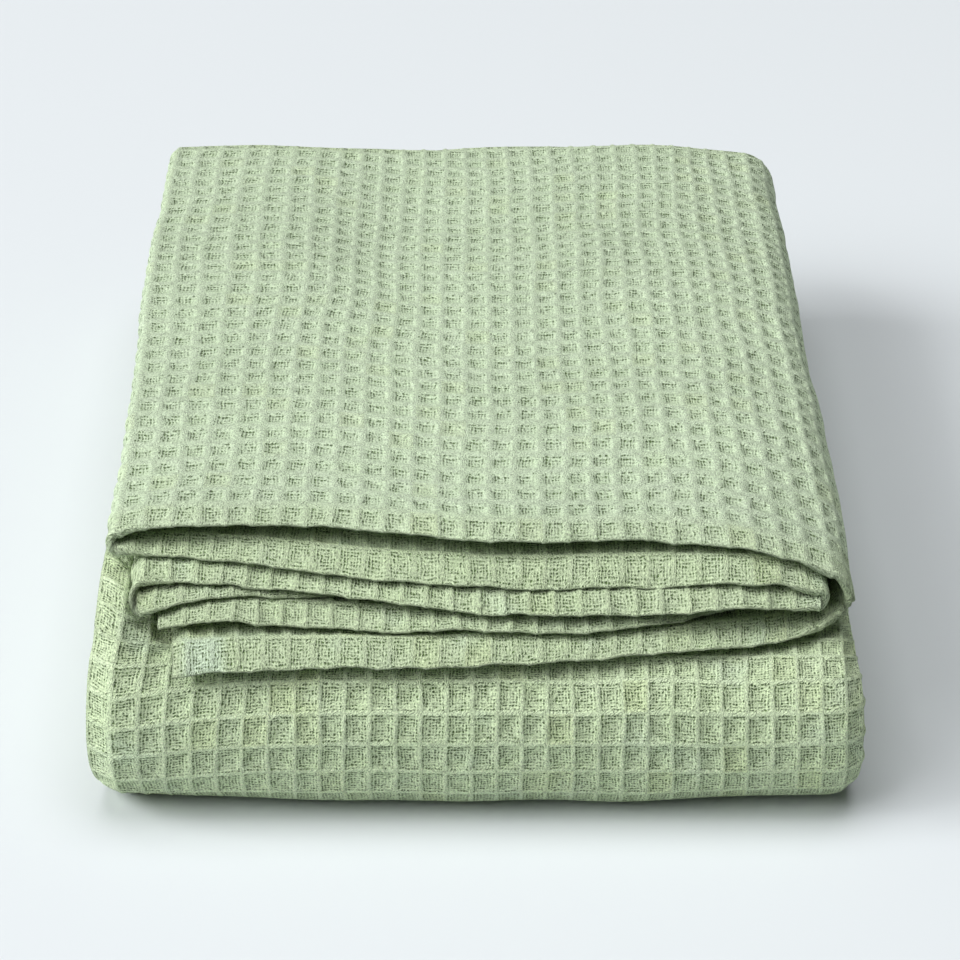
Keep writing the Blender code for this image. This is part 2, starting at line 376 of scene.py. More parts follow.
def linesBetween(first, last, steps):
    lines = (np.arange(math.floor(first), math.ceil(last))[:, None] + np.array(steps)).ravel()
    return np.concatenate([[first], lines[(lines > first + closest) & (lines < last - closest)]])


def makeSamples(fine, baseCells, baseStation):
    # the mesh's lines along the strip: u counts cells across the cloth, from where the top layer starts
    cells = [entry[4] for entry in runs]
    cells[0] = baseCells
    starts = np.concatenate([[0], np.cumsum(cells)]) - cells[0] - cells[1]
    run, u, amount = [], [], []
    for number, entry in enumerate(runs):
        first, last = starts[number], starts[number + 1]
        if entry[0] == "turn":
            lines = linesBetween(first, last, cellSteps if cells[number] > 2 else turnSteps)
        elif number in fine:
            lines = linesBetween(first, last, cellSteps)
        else:
            lines = np.arange(first, last - 0.5, plainStep)
        run += [number] * len(lines)
        u += list(lines)
        amount += [float(entry[0] == "turn" or number in fine)] * len(lines)
    run, u, amount = run + run[-1:], u + [starts[-1]], amount + amount[-1:]
    run, u = np.array(run), np.array(u)
    reference = [baseStation] + [0.1] * (len(runs) - 1)
    return {"run": run, "k": u - starts[run], "u": u, "cells": cells, "amount": np.array(amount),
            "reference": reference, "edges": (starts[0], starts[-1])}


waffle = {
    # half widths of the ribs, in cells and in rows, where the cloth is stretched and on the flat top
    "ribAcross": 0.10, "ribAlong": 0.095, "topAcross": 0.14, "topAlong": 0.19,
    "places": (-1, -0.5, 0, 0.14, 0.4, 0.7, 1),  # from the middle of a rib to its edge, then down the cell
    "heights": (0.66, 0.60, 0.34, -0.18, -0.55, -0.78, -0.88),
    "topDepth": 0.66,  # the flat top is pressed and shallower
    "foldDepth": 0.78,  # and so is the front
    "hemDepth": 0.65,
    "calmTurn": 0.7,  # how much less where the outer fold meets the hem
    "half": 1.15,  # from the middle of the cloth to the ribs' foot
    "lipHalf": 0.35,  # the same at the hems
    "lipRows": 0.25,
    "fill": {"outer": 0.9, "top": 1.3, "inner": 1.1, "mid": 0.3, "core": 1.0},  # more inside the folds
    "topShift": 1.0,  # how far the top layer's columns lie to the right
    "topShiftOver": 5,  # over this many cells from its ends
    "hemPhase": 0.11, "hemPhaseOver": 1.2,  # how much of the first rib the hem cuts off, in rows
    "tightFold": 0.15,  # what the ribs have inside a tight fold
    "corner": 0.03,  # how round the corners of the cells are
    "foldRow": 58, "foldRows": 6,  # where the front starts
    "scallop": 0.6, "scallopWidth": 0.12, "hemIn": 0.2,  # the hem stands out at each rib
    "hemEdge": 0.8, "hemEdgeRows": 0.1,  # how much flatter the very edge is
    # from which row on and over how many: the hem's stretch, its shallow ribs, the calm turn
    "stretchRows": (0.4, 1.2), "hemRows": (0.8, 0.6), "calmRows": (1.2, 1.2),
    "hemLieRows": 0.8, "hemLineRows": 0.35,  # how far in the unevenness of the hems goes
    "stretchStation": 0.95, "stretchStations": 0.3,  # where the back fold stretches the cloth
    "nearTurn": 1.5, "stillEdge": 3, "lipCells": 0.4,  # in cells
}
uneven = {  # how much, length of a wave in millimetres, seed
    "ribsAcross": (0.05, 24, 21), "ribsAlong": (0.05, 24, 22),  # how far the ribs stray, in cells
    "depthWide": (0.18, 60, 11), "depthFine": (0.12, 16, 12),  # share of the ribs' height
    "lie": (0.35, 70, 3), "hemLie": (0.5, 22, 5), "hemLine": (0.6, 18, 6),
    "strayWide": (0.9, 130, 31), "strayFine": (0.35, 40, 32),  # how far the columns stray
}


def waver(name, across, along):
    size, wave, seed = uneven[name]
    return size * softNoise(across, along, wave, seed)


def patternRow(v):
    return v + waffle["hemPhase"] * fading(v, 0, waffle["hemPhaseOver"])


def stretchAt(u, v, stations):
    # 0 on the flat top, 1 over the folds and on the strips that show at the hems
    offTop = smooth(np.maximum(-u, u - cloth["topCells"]) / 2)
    atHem = fading(v, *waffle["stretchRows"]) * (0.5 + 0.5 * offTop)
    onBack = smooth((stations - waffle["stretchStation"]) / waffle["stretchStations"])
    return np.maximum(np.maximum(atHem, offTop * (v < 2)), onBack)


def relief(u, v, side, stretch):
    u = u if side > 0 else u + 0.5
    across, along = u * cloth["cell"], v * cloth["row"]
    u, v = u + waver("ribsAcross", across, along), v + waver("ribsAlong", across, along)
    halfU = waffle["topAcross"] + (waffle["ribAcross"] - waffle["topAcross"]) * stretch
    halfV = waffle["topAlong"] + (waffle["ribAlong"] - waffle["topAlong"]) * stretch
    over = (np.abs(u - np.round(u)) - halfU) / (0.5 - halfU)
    up = (np.abs(v - np.round(v)) - halfV) / (0.5 - halfV)
    over = np.where(over < 0, over * (0.5 / halfU - 1), over)
    up = np.where(up < 0, up * (0.5 / halfV - 1), up)
    # a soft least of the two, so that the corners of the cells are round
    least = (over + up - np.sqrt((over - up) ** 2 + waffle["corner"])) / 2
    height = np.interp(least, waffle["places"], waffle["heights"])
    height = height * (waffle["topDepth"] + (1 - waffle["topDepth"]) * stretch)
    height = height * (1 - (1 - waffle["foldDepth"]) * smooth((v - waffle["foldRow"]) / waffle["foldRows"]))
    return height * (1 + waver("depthWide", across, along) + waver("depthFine", across, along))


def normalsOf(points, u, v):
    normal = np.cross(np.gradient(points, v, axis=0), np.gradient(points, u, axis=1))
    return normal / np.maximum(np.linalg.norm(normal, axis=2, keepdims=True), 1e-9)


def roomForRibs(samples, side):
    # the inside of a tight fold has no room for the ribs
    amount = samples["amount"].copy()
    for number, (kind, name, *_) in enumerate(runs):
        if kind == "turn" and name != "outer" and side == folds[name][2]:
            amount[samples["run"] == number] = waffle["tightFold"]
    return amount


def faceGrid(side, samples, rows, withRelief):
    # points and normals of one face of the cloth, with a row more at each end so that pieces meet softly
    rowMore = 0.04
    before = [rows[0] - rowMore] if rows[0] > 0 else []
    after = [rows[-1] + rowMore] if rows[-1] < cloth["rows"] else []
    line = np.concatenate([before, rows, after])
    u, v = np.meshgrid(samples["u"], line)
    stations = stationsOfRows(samples, line)
    middle = layDown(*sectionPlace(samples, stations), stations)
    across, along = u * cloth["cell"], v * cloth["row"]
    fromSide = np.minimum(u - samples["edges"][0], samples["edges"][1] - u)
    middle[..., 2] += waver("lie", across, along)
    stray = waver("strayWide", across, along) + waver("strayFine", across, along)
    onTop = smooth(np.minimum(u, cloth["topCells"] - u) / waffle["topShiftOver"])
    middle[..., 0] += stray * smooth(fromSide / waffle["stillEdge"]) + waffle["topShift"] * onTop
    middle[..., 2] += fading(v, 0, waffle["hemLieRows"]) * waver("hemLie", across, v * 2)
    scallop = waffle["scallop"] * np.exp(-(((u - np.round(u)) / waffle["scallopWidth"]) ** 2))
    hemLine = scallop - waffle["hemIn"] + waver("hemLine", across, v)
    middle[..., 1] -= fading(v, 0, waffle["hemLineRows"]) * hemLine
    out = normalsOf(middle, samples["u"], line)
    fromHem = np.minimum(v, cloth["rows"] - v)
    turns = [number for number, entry in enumerate(runs) if entry[0] == "turn"]
    ends = [samples["u"][samples["run"] == number][[0, -1]] for number in turns]
    # how nearly each place is on each of the turns, and on any of them
    near = [fading(np.maximum(low - u, u - high), 0, waffle["nearTurn"]) for low, high in ends]
    turning = np.max(near, axis=0)
    full = smooth(fromHem / waffle["lipRows"]) * (1 - turning) + turning
    thin = 1 - np.minimum(full, smooth(fromSide / waffle["lipCells"]))
    stretch = stretchAt(u, v, stations)
    raised = np.zeros(u.shape)
    if withRelief:
        raised = relief(u, patternRow(v), side, stretch) * roomForRibs(samples, side)
        raised = raised * (1 - (1 - waffle["hemDepth"]) * fading(v, *waffle["hemRows"]))
        atEdge = fading(fromHem, 0, waffle["hemEdgeRows"]) * (1 - turning)
        raised = raised * (1 - waffle["hemEdge"] * atEdge)
        raised = raised * (1 - waffle["calmTurn"] * near[0] * fading(v, *waffle["calmRows"]))
    half = waffle["half"] + (waffle["lipHalf"] - waffle["half"]) * thin
    for number, nearThis in zip(turns, near):
        name = runs[number][1]
        if side == folds[name][2] * (-1 if name == "outer" else 1):
            half = half + waffle["fill"][name] * nearThis
    points = middle + out * (side * (half + raised))[..., None]
    points[..., 2] = np.maximum(points[..., 2], 0)
    shading = normalsOf(points, samples["u"], line) * side
    keep = slice(len(before), len(line) - len(after))
    return {"points": points[keep], "normals": shading[keep], "u": samples["u"], "v": rows,
            "pattern": patternRow(rows), "stretch": stretch[keep]}


rim = {
    "turns": (50, 0, -50),  # the angles of its lines of points, in degrees
    "weaveOut": 0.06,  # how far the weave goes on round it, in rows
}
bakeMap = {  # each face and the rim has its own band of the bake map
    "front": (0.0, 0.6), "back": (0.61, 0.9), "rim": (0.91, 0.93), "rimStep": 0.025, "seam": (0.99, 1.0),
}


def edgeLoop(rows, places):
    grid = np.arange(rows * places).reshape(rows, places)
    return np.concatenate([grid[0, :-1], grid[:-1, -1], grid[-1, :0:-1], grid[:0:-1, 0]])


def loopPlaces(u, v):
    # how far round the edge each point of the loop is, back to the first
    spanU, spanV = u[-1] - u[0], v[-1] - v[0]
    return np.concatenate([u[:-1] - u[0], spanU + v[:-1] - v[0], spanU + spanV + u[-1] - u[:0:-1],
                           2 * spanU + spanV + v[-1] - v[:0:-1], [2 * (spanU + spanV)]])


def closeLoop(loop):
    return np.concatenate([loop, loop[:1]])


def zipLines(first, atFirst, second, atSecond, total):
    # triangles between two lines of points that run side by side, and their places in the bake map
    faces, spots, i, j = [], [], 0, 0
    low, high = bakeMap["seam"]
    while i < len(first) - 1 or j < len(second) - 1:
        if j == len(second) - 1 or (i < len(first) - 1 and atFirst[i + 1] <= atSecond[j + 1] + 1e-9):
            faces.append((int(first[i]), int(first[i + 1]), int(second[j])))
            spots += [(atFirst[i] / total, low), (atFirst[i + 1] / total, low), (atSecond[j] / total, high)]
            i += 1
        else:
            faces.append((int(first[i]), int(second[j + 1]), int(second[j])))
            spots += [(atFirst[i] / total, low), (atSecond[j + 1] / total, high), (atSecond[j] / total, high)]
            j += 1
    return faces, spots


def outwardOf(points, hemEnds):
    # which way is off the cloth, round the edge of a face
    outward = np.zeros(points.shape)
    for axis in (0, 1):
        way = np.gradient(points, axis=axis)
        way /= np.linalg.norm(way, axis=2, keepdims=True)
        ends = (0, -1) if axis == 1 else [end for end, isHem in zip((0, -1), hemEnds) if isHem]
        for end in ends:
            spot = (end, slice(None)) if axis == 0 else (slice(None), end)
            outward[spot] += way[spot] * (1 if end else -1)
    size = np.linalg.norm(outward, axis=2, keepdims=True)
    return (outward / np.maximum(size, 1)).reshape(-1, 3)[edgeLoop(*points.shape[:2])]


def makePiece(name, front, back, hemEnds):
    # one closed piece of the cloth: two faces and a half round rim along the cloth's own edges
    pointSets, normalSets, weaveSets, stretchSets, quads, spots, loops = [], [], [], [], [], [], []
    count = 0
    for side, face, (low, high) in ((1, front, bakeMap["front"]), (-1, back, bakeMap["back"])):
        rows, places = face["points"].shape[:2]
        grid = np.arange(rows * places).reshape(rows, places)
        corners = [grid[:-1, :-1], grid[:-1, 1:], grid[1:, 1:], grid[1:, :-1]][::-side]
        corners = np.stack(corners, axis=-1).reshape(-1, 4)
        across, along = np.meshgrid(np.linspace(0, 1, places), np.linspace(low, high, rows))
        spots.append(np.stack([across, along], axis=-1).reshape(-1, 2)[corners].reshape(-1, 2))
        quads.append(corners + count)
        pointSets.append(face["points"].reshape(-1, 3))
        normalSets.append(face["normals"].reshape(-1, 3))
        u, v = np.meshgrid(face["u"], face["pattern"])
        weaveSets.append(np.stack([u, v, np.full(u.shape, float(side))], axis=-1).reshape(-1, 3))
        stretchSets.append(face["stretch"].ravel())
        loops.append(edgeLoop(rows, places))
        count += rows * places
    places, backPlaces = loopPlaces(front["u"], front["v"]), loopPlaces(back["u"], back["v"])
    frontLine = pointSets[0][loops[0]]
    backLine = closeLoop(pointSets[1][loops[1]])
    backMatch = np.stack([np.interp(places[:-1], backPlaces, backLine[:, i]) for i in range(3)], axis=-1)
    outward = outwardOf(front["points"], hemEnds)
    weave = weaveSets[0][loops[0]]
    isHem = np.where(weave[:, 1] <= patternRow(0), -1.0, np.where(weave[:, 1] >= cloth["rows"], 1.0, 0.0))
    middle, halfWay = (frontLine + backMatch) / 2, (frontLine - backMatch) / 2
    bulge = np.linalg.norm(halfWay, axis=1, keepdims=True)
    lineBefore, around = loops[0], places / places[-1]
    for number, turn in enumerate(rim["turns"]):
        sine, cosine = math.sin(math.radians(turn)), math.cos(math.radians(turn))
        normal = outward * cosine + halfWay / bulge * sine
        pointSets.append(middle + halfWay * sine + outward * bulge * cosine)
        normalSets.append(normal / np.maximum(np.linalg.norm(normal, axis=1, keepdims=True), 1e-6))
        weaveSets.append(np.column_stack([weave[:, 0], weave[:, 1] + isHem * cosine * rim["weaveOut"],
                                          np.full(len(weave), sine)]))
        stretchSets.append(stretchSets[0][loops[0]])
        line = np.arange(len(weave)) + count
        count += len(line)
        quads.append(np.stack([lineBefore, np.roll(lineBefore, -1), np.roll(line, -1), line], axis=-1))
        low, high = (edge + bakeMap["rimStep"] * number for edge in bakeMap["rim"])
        corners = ((around[:-1], low), (around[1:], low), (around[1:], high), (around[:-1], high))
        corners = [np.column_stack([spot, np.full(len(line), band)]) for spot, band in corners]
        spots.append(np.stack(corners, axis=1).reshape(-1, 2))
        lineBefore = line
    backIndex = closeLoop(loops[1]) + len(pointSets[0])
    closing, closingSpots = zipLines(closeLoop(lineBefore), places, backIndex,
                                     backPlaces * places[-1] / backPlaces[-1], places[-1])
    mesh = bpy.data.meshes.new(name)
    mesh.from_pydata(placeInFrame(np.vstack(pointSets)), [], np.vstack(quads).tolist() + closing)
    mesh.shade_smooth()
    attribute = mesh.attributes.new("weave", "FLOAT_VECTOR", "POINT")
    attribute.data.foreach_set("vector", np.vstack(weaveSets).astype(np.float32).ravel())
    attribute = mesh.attributes.new("stretch", "FLOAT", "POINT")
    attribute.data.foreach_set("value", np.concatenate(stretchSets).astype(np.float32))
    spots = np.vstack(spots + [np.array(closingSpots)]).astype(np.float32)
    mesh.uv_layers.new(name="OFBake").data.foreach_set("uv", spots.ravel())
    mesh.normals_split_custom_set_from_vertices(np.vstack(normalSets))
    piece = bpy.data.objects.new(name, mesh)
    bpy.context.scene.collection.objects.link(piece)
    return piece


blanketLow, blanketHigh = (np.array(corner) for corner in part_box("blanket"))
solidMiddle = np.array([-1.9, 228.188])  # of the blanket's solid, in the millimetres used here


def placeInFrame(points):
    shift = (blanketLow + blanketHigh)[:2] / 2 - solidMiddle * mm
    return points * mm + np.append(shift, blanketLow[2])


cotton = {
    "sheenTopRib": (0.690, 0.825, 0.595, 1), "sheenTopPit": (0.675, 0.810, 0.580, 1),  # on the flat top, paler and less saturated as painted sheen; the pits a little darker as painted shade
    "hemRib": (0.630, 0.755, 0.485, 1), "shadedHemPit": (0.615, 0.735, 0.480, 1),  # on the strips at the hems, darker as painted shade; the pits a little darker still
    "litFoldRib": (0.785, 0.935, 0.612, 1), "litFoldPit": (0.765, 0.910, 0.592, 1),  # round the front, brighter and richer as painted light; the pits a little darker as painted shade
    "foldRows": (45.0, 55.0),  # where the front's painted-light colours take over
    "gap": (0.10, 0.18, 0.04, 1), "gapShade": 0.95,  # painted shade in the gaps between the yarns
    "faded": (0.70, 0.85, 0.64, 1), "fadedFrom": (0.56, 0.78), "fadedShare": 0.6,  # paler patches
    "fadedCell": -29.35, "fadedWide": 0.75, "fadedRow": 0.55, "fadedLong": 0.5,  # the lowest layer's corner
    "yellower": 0.012, "richer": 0.12,  # single cells that stand out
    "speckle": 1.5,  # how uneven the yarns' colour is
    "broad": 0.1,  # and the whole cloth's
    "cornerSoft": (1.5, 0.6),  # where that patch ends and where it is full
    "standOut": (0.8, 1.0), "rich": 0.9, "richVaries": 0.2,
    "grainTone": 0.9, "fibreTone": 0.7, "streakTone": 0.9, "twistTone": 0.05,
    "roughness": 0.9, "shine": 0.15, "sheen": 0.35, "sheenRoughness": 0.5,
    "sheenColour": (0.85, 1.0, 0.72, 1),
}
yarns = {
    "across": 8.0, "along": 10.0,  # in one cell
    "ribAcross": 0.6, "ribAlong": 0.65,  # half of a rib
    "topAcross": 1.2, "topAlong": 1.8,  # the same on the flat top
    "wanderAcross": 0.12, "wanderAlong": 0.10,  # how far the squares stray, in cells
    "shiver": 0.9,  # and each yarn, in yarns
    "narrow": (0.42, 0.05), "wide": (0.5, 0.12),  # where a gap ends and where it is full, in yarns
    "crossing": 0.22,  # how much of a gap is left where it meets the yarns across
    "fewerRings": 0.4,  # on the flat top
    "shadedSide": 0.35,  # how much more painted shade the gaps get on one side of a cell
    "softer": 0.12,  # how much less painted shade they get on the top and the hems
    "rimDots": 0.6, "dotsFrom": (0.52, 0.66),  # gaps round the edges of the cloth
    "pitEdge": (-0.3, 0.4), "pitShiver": 3.0,  # in yarns from the ribs
    "hemRib": 0.7, "hemRibRows": (0.22, 0.17),  # the gaps on the hem's own rib
    "patchFrom": (0.3, 0.7), "leastPatch": 0.5, "patches": 0.8,
    "breakFrom": (0.38, 0.6), "leastBreak": 0.4, "breaks": 0.85,
    "alongRib": (1.7, 1.2), "insideRib": (0.5, 1.0), "acrossRib": (1.1, 0.7),  # in yarns from the rib
    "twistAcross": 5.0, "twistAlong": 5.5, "twistStray": 9.0, "leastTwist": 0.25,
    "streaksAcross": 2.6, "streaksAlong": 0.9,
    "bump": 0.0005, "gapDepth": 1.5, "grain": 1.7, "fibre": 1.2, "twist": 0.5, "streak": 3.0,
}
fluff = {  # how fine each kind of unevenness is, and in how much detail
    "wander": (0.12, 1.0), "shiver": (0.6, 1.0), "grain": (1.3, 3.0), "fibres": (3.2, 2.0),
    "patchy": (0.5, 1.0), "breaks": (1.0, 1.0), "rimDots": (0.85, 1.0), "streaks": (1.0, 2.0),
    "faded": (0.035, 2.0), "richness": (0.09, 1.0), "broad": (0.012, 2.0),
}


# Math nodes written as sums.
class Sums:
    def __init__(self, tree):
        self.tree = tree

    def put(self, value, socket):
        if isinstance(value, (int, float, tuple)):
            socket.default_value = value
        else:
            self.tree.links.new(value, socket)

    def do(self, operation, *values, clamp=False):
        node = self.tree.nodes.new("ShaderNodeMath")
        node.operation, node.use_clamp = operation, clamp
        for value, socket in zip(values, node.inputs):
            self.put(value, socket)
        return node.outputs[0]

    def plus(self, first, *others):
        for other in others:
            first = self.do("ADD", first, other)
        return first

    def times(self, first, *others):
        for other in others:
            first = self.do("MULTIPLY", first, other)
        return first

    def less(self, first, second):
        return self.do("SUBTRACT", first, second)

    def rest(self, value):  # what is left of one
        return self.do("SUBTRACT", 1.0, value)

    def ramp(self, value, low, high):
        node = self.tree.nodes.new("ShaderNodeMapRange")
        node.interpolation_type = "SMOOTHSTEP"
        self.put(value, node.inputs["Value"])
        node.inputs["From Min"].default_value, node.inputs["From Max"].default_value = low, high
        return node.outputs["Result"]

    def mix(self, share, first, second):
        node = self.tree.nodes.new("ShaderNodeMix")
        node.data_type = "RGBA"
        for number, value in ((0, share), (6, first), (7, second)):
            self.put(value, node.inputs[number])
        return node.outputs[2]

    def noise(self, name, where):
        node = self.tree.nodes.new("ShaderNodeTexNoise")
        self.put(where, node.inputs["Vector"])
        node.inputs["Scale"].default_value, node.inputs["Detail"].default_value = fluff[name]
        return node.outputs["Fac"]

    def join(self, *parts):
        node = self.tree.nodes.new("ShaderNodeCombineXYZ")
        for value, socket in zip(parts, node.inputs):
            self.put(value, socket)
        return node.outputs[0]

    def stored(self, name, output):
        node = self.tree.nodes.new("ShaderNodeAttribute")
        node.attribute_name = name
        return node.outputs[output]


def makeMaterial():
    material = bpy.data.materials.new("waffleCotton")
    material.use_nodes = True
    tree = material.node_tree
    shader = tree.nodes["Principled BSDF"]
    sums = Sums(tree)
    do, plus, times, less, rest = sums.do, sums.plus, sums.times, sums.less, sums.rest
    ramp, mix, noise, join = sums.ramp, sums.mix, sums.noise, sums.join

    # the place on the cloth: its cell, row and face, and in millimetres
    split = tree.nodes.new("ShaderNodeSeparateXYZ")
    tree.links.new(sums.stored("weave", "Vector"), split.inputs[0])
    u, v, side = split.outputs
    u = plus(u, times(rest(side), 0.25))  # the two faces' cells are half a cell apart
    stretch = sums.stored("stretch", "Fac")
    flat = rest(stretch)
    across, along = times(u, cloth["cell"]), times(v, cloth["row"])
    inCloth = join(across, along, times(side, 2.5))
    wander = less(noise("wander", inCloth), 0.5)
    wanderToo = less(noise("wander", join(along, across, 7.0)), 0.5)
    shiver = less(noise("shiver", inCloth), 0.5)
    shiverToo = less(noise("shiver", join(along, 3.0, across)), 0.5)

    # yarns from the middle of the cell, and from its ribs
    cellU = do("FRACT", plus(u, times(wander, yarns["wanderAcross"])))
    cellV = do("FRACT", plus(v, times(wanderToo, yarns["wanderAlong"])))
    x = plus(times(less(cellU, 0.5), yarns["across"]), times(shiver, yarns["shiver"]))
    y = plus(times(less(cellV, 0.5), yarns["along"]), times(shiverToo, yarns["shiver"]))
    halfAcross, halfAlong = yarns["across"] / 2, yarns["along"] / 2
    farX, farY = do("ABSOLUTE", x), do("ABSOLUTE", y)
    fromAcross, fromAlong = less(halfAcross, farX), less(halfAlong, farY)

    # the gaps between the yarns run in square rings, one inside the other
    onSides = ramp(less(do("DIVIDE", farX, halfAcross), do("DIVIDE", farY, halfAlong)), -0.05, 0.05)
    rings = times(y, rest(times(flat, yarns["fewerRings"])))
    offX = do("ABSOLUTE", less(x, do("ROUND", x)))
    offY = do("ABSOLUTE", less(rings, do("ROUND", rings)))
    full = 1 - yarns["crossing"]
    wideX, wideY = ramp(offX, *yarns["wide"]), ramp(offY, *yarns["wide"])
    sideGaps = times(ramp(offX, *yarns["narrow"]), plus(times(wideY, full), yarns["crossing"]))
    endGaps = times(ramp(offY, *yarns["narrow"]), plus(times(wideX, full), yarns["crossing"]))
    gaps = plus(times(sideGaps, onSides), times(endGaps, rest(onSides)))

    # they show in the cell, broken here and there, with more painted shade on the side of it away from the
    # light
    ribX = plus(yarns["ribAcross"], times(flat, yarns["topAcross"] - yarns["ribAcross"]))
    ribY = plus(yarns["ribAlong"], times(flat, yarns["topAlong"] - yarns["ribAlong"]))
    offRibs = do("MINIMUM", less(fromAcross, ribX), less(fromAlong, ribY))
    pit = ramp(plus(offRibs, times(shiverToo, times(flat, yarns["pitShiver"]))), *yarns["pitEdge"])
    grain, fibres = noise("grain", inCloth), noise("fibres", inCloth)
    patchy = ramp(noise("patchy", inCloth), *yarns["patchFrom"])
    breaks = ramp(noise("breaks", inCloth), *yarns["breakFrom"])
    inPit = do("MAXIMUM", pit, times(ramp(v, *yarns["hemRibRows"]), yarns["hemRib"]))
    gaps = times(gaps, inPit, plus(yarns["leastPatch"], times(patchy, yarns["patches"])),
                 plus(yarns["leastBreak"], times(breaks, yarns["breaks"])))
    onFold = ramp(v, *cotton["foldRows"])
    # painted shade: the gaps darken towards the side and end of each cell that the light does not reach, the
    # other way round on the front, strongest on the flat top
    shadedSide = plus(times(do("DIVIDE", x, yarns["across"]), side), do("DIVIDE", y, yarns["along"]))
    shadedSide = times(shadedSide, rest(times(onFold, 2.0)))
    gaps = times(gaps, plus(1.0, times(shadedSide, plus(yarns["shadedSide"], flat))))
    gaps = times(gaps, rest(times(rest(onFold), yarns["softer"])))
    onRim = ramp(do("ABSOLUTE", side), 0.99, 0.9)  # round the edge the gaps are not in squares
    dots = times(ramp(noise("rimDots", inCloth), *yarns["dotsFrom"]), yarns["rimDots"])
    gaps = plus(times(gaps, rest(onRim)), times(dots, onRim))

    # the bump: twisted yarns along the ribs, streaks across them, gaps, grain and fibres
    onAlongRib = times(ramp(fromAlong, *yarns["alongRib"]), ramp(fromAcross, *yarns["insideRib"]))
    twist = do("SINE", plus(times(x, yarns["twistAcross"]), times(y, yarns["twistAlong"]),
                            times(shiver, yarns["twistStray"])))
    twist = times(twist, onAlongRib, plus(yarns["leastTwist"], patchy))
    streaks = noise("streaks", join(times(u, cloth["cell"] * yarns["streaksAcross"]),
                                    times(v, cloth["row"] * yarns["streaksAlong"]), side))
    streaks = times(less(streaks, 0.5), ramp(fromAcross, *yarns["acrossRib"]))
    height = plus(times(twist, yarns["twist"]), times(streaks, yarns["streak"]))
    height = less(height, times(gaps, yarns["gapDepth"]))
    height = plus(height, plus(times(grain, yarns["grain"]), times(fibres, yarns["fibre"])))
    bump = tree.nodes.new("ShaderNodeBump")
    bump.inputs["Strength"].default_value = 1.0
    bump.inputs["Distance"].default_value = yarns["bump"]
    tree.links.new(height, bump.inputs["Height"])
    tree.links.new(bump.outputs["Normal"], shader.inputs["Normal"])

    # colours of ribs and cells, with painted sheen on the top, painted light on the front and painted shade
    # on the hems and in the pits, faded patches, and painted shade between the yarns
    # painted light and shade: the stretch mask and onFold choose the top's painted sheen, the hems' painted
    # shade or the front's painted light, and the pit mask adds a little painted shade
    ribPaint = mix(onFold, mix(stretch, cotton["sheenTopRib"], cotton["hemRib"]), cotton["litFoldRib"])
    pitPaint = mix(onFold, mix(stretch, cotton["sheenTopPit"], cotton["shadedHemPit"]), cotton["litFoldPit"])
    faded = times(ramp(noise("faded", inCloth), *cotton["fadedFrom"]), times(stretch, cotton["fadedShare"]))
    corner = do("MAXIMUM", do("ABSOLUTE", do("DIVIDE", less(u, cotton["fadedCell"]), cotton["fadedWide"])),
                do("ABSOLUTE", do("DIVIDE", less(v, cotton["fadedRow"]), cotton["fadedLong"])))
    corner = times(ramp(corner, *cotton["cornerSoft"]), ramp(side, 0.0, -0.5))  # on the under face
    paint = mix(do("MAXIMUM", faded, corner), mix(pit, ribPaint, pitPaint), cotton["faded"])
    # painted shade: the gaps between the yarns are painted near-black green, as the shade in the holes
    paint = mix(do("MULTIPLY", gaps, cotton["gapShade"], clamp=True), paint, cotton["gap"])

    # tint: some cells are yellower, and every yarn differs a little
    eachCell = tree.nodes.new("ShaderNodeTexWhiteNoise")
    tree.links.new(join(do("FLOOR", u), do("FLOOR", v), side), eachCell.inputs["Vector"])
    yellow = times(ramp(eachCell.outputs["Value"], *cotton["standOut"]), rest(times(gaps, 0.5)))
    richness = plus(times(noise("richness", inCloth), cotton["richVaries"]), times(yellow, cotton["richer"]))
    speckle = plus(times(less(grain, 0.5), cotton["grainTone"]),
                   times(less(fibres, 0.5), cotton["fibreTone"]))
    speckle = plus(speckle, plus(times(streaks, cotton["streakTone"]), times(twist, cotton["twistTone"])))
    broad = times(less(noise("broad", inCloth), 0.5), cotton["broad"])
    tone = plus(times(speckle, cotton["speckle"]), broad)
    tint = tree.nodes.new("ShaderNodeHueSaturation")
    tree.links.new(less(0.5, times(yellow, cotton["yellower"])), tint.inputs["Hue"])
    tree.links.new(plus(cotton["rich"], richness), tint.inputs["Saturation"])
    tree.links.new(plus(tone, 1.0), tint.inputs["Value"])
    tree.links.new(paint, tint.inputs["Color"])
    tree.links.new(tint.outputs["Color"], shader.inputs["Base Color"])
    finish = {"Roughness": "roughness", "Specular IOR Level": "shine", "Sheen Weight": "sheen",
              "Sheen Roughness": "sheenRoughness", "Sheen Tint": "sheenColour"}
    for socket, key in finish.items():
        shader.inputs[socket].default_value = cotton[key]
    print("the cotton has", len(tree.nodes), "nodes")
    return material


halfRows, plainRows = (0, 0.15, 0.5, 0.85), (0, 0.25, 0.5, 0.75)
usual = {"bothFaces": False, "baseCells": 29.33, "baseStation": 3.0}
pieces = {  # first and last row, runs with ribs, and the row lines; the hems show both faces
    "hemFan": {"first": 0, "last": 2, "ribbed": range(len(runs)), "lines": rowSteps,
               "bothFaces": True, "baseCells": 26.4, "baseStation": 0.0},
    "topThirdFront": {"first": 2, "last": 17, "ribbed": (2,), "lines": rowSteps, **usual},
    "topThirdBack": {"first": 17, "last": 31, "ribbed": (2,), "lines": rowSteps, **usual},
    "backFold": {"first": 31, "last": 39, "ribbed": (2,), "lines": rowSteps, **usual},
    "middleThird": {"first": 39, "last": 62, "ribbed": (), "lines": halfRows, **usual},
    "frontFold": {"first": 62, "last": 79, "ribbed": (0,), "lines": rowSteps, **usual},
    "bottomThird": {"first": 79, "last": 107, "ribbed": (0,), "lines": halfRows, **usual},
}
material = makeMaterial()
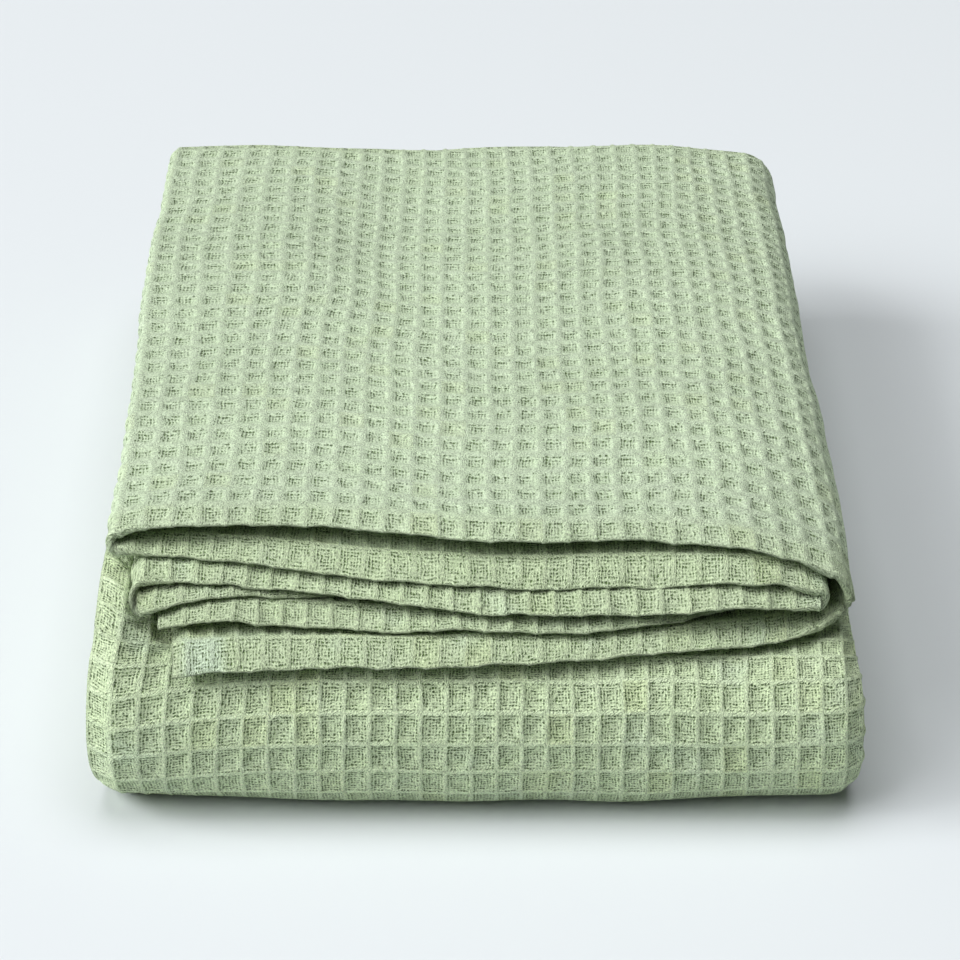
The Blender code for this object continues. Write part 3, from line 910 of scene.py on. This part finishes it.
for name, part in pieces.items():
    first, last, bothFaces = part["first"], part["last"], part["bothFaces"]
    samples = makeSamples(part["ribbed"], part["baseCells"], part["baseStation"])
    coarse = samples if bothFaces else makeSamples((), part["baseCells"], part["baseStation"])
    rows = np.append(linesBetween(first, last, part["lines"]), last)
    backRows = rows if bothFaces else np.append(linesBetween(first, last, plainRows), last)
    front = faceGrid(1, samples, rows, True)
    back = faceGrid(-1, coarse, backRows, bothFaces)
    piece = makePiece(name, front, back, (first == 0, last == cloth["rows"]))
    piece.data.materials.append(material)
    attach(piece, "root")
    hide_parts("blanket")
    print(name, sum(len(face.vertices) - 2 for face in piece.data.polygons), "triangles")

studio = {
    "floor": (0.71, 0.75, 0.775, 1), "floorSize": 8, "floorRoughness": 0.7,
    "room": 0.06, "roomColour": (0.98, 0.99, 1.0, 1),  # light from all round
    "lamps": (  # name, place, size, power
        ("windowLeft", (-8.0, -0.85, 5.8), 5.1, 620),
        ("windowFront", (-6.5, -5.05, 6.5), 5.8, 510),
        ("ceiling", (0.0, 0.4, 7.0), 5.6, 300),
    ),
    "cameraPlace": (0.0019, -1.32582, 0.70046), "cameraDown": 27, "lens": 135, "sensor": 36,
}

bpy.ops.mesh.primitive_plane_add(size=studio["floorSize"])
floor = bpy.context.object
floor.name = "floor"
floorPaint = bpy.data.materials.new("paleFloor")
floorPaint.use_nodes = True
floorShader = floorPaint.node_tree.nodes["Principled BSDF"]
floorShader.inputs["Base Color"].default_value = studio["floor"]
floorShader.inputs["Roughness"].default_value = studio["floorRoughness"]
floor.data.materials.append(floorPaint)
print("the floor is laid")

world = bpy.data.worlds.new("softRoom")
world.use_nodes = True
roomLight = world.node_tree.nodes["Background"]
roomLight.inputs["Color"].default_value = studio["roomColour"]
roomLight.inputs["Strength"].default_value = studio["room"]
bpy.context.scene.world = world

for name, place, size, power in studio["lamps"]:
    lamp = bpy.data.lights.new(name, "AREA")
    lamp.shape, lamp.size, lamp.energy = "SQUARE", size, power
    holder = bpy.data.objects.new(name, lamp)
    holder.location = place
    holder.rotation_euler = (-Vector(place)).to_track_quat("-Z", "Y").to_euler()
    bpy.context.scene.collection.objects.link(holder)
print("the lamps are hung")

camera = bpy.data.cameras.new("camera")
camera.lens, camera.sensor_width = studio["lens"], studio["sensor"]
cameraHolder = bpy.data.objects.new("camera", camera)
cameraHolder.location = studio["cameraPlace"]
cameraHolder.rotation_euler = (math.radians(90 - studio["cameraDown"]), 0, 0)
bpy.context.scene.collection.objects.link(cameraHolder)
bpy.context.scene.camera = cameraHolder
bpy.context.scene.view_settings.view_transform = "Standard"
print("the camera stands in front, a little above")
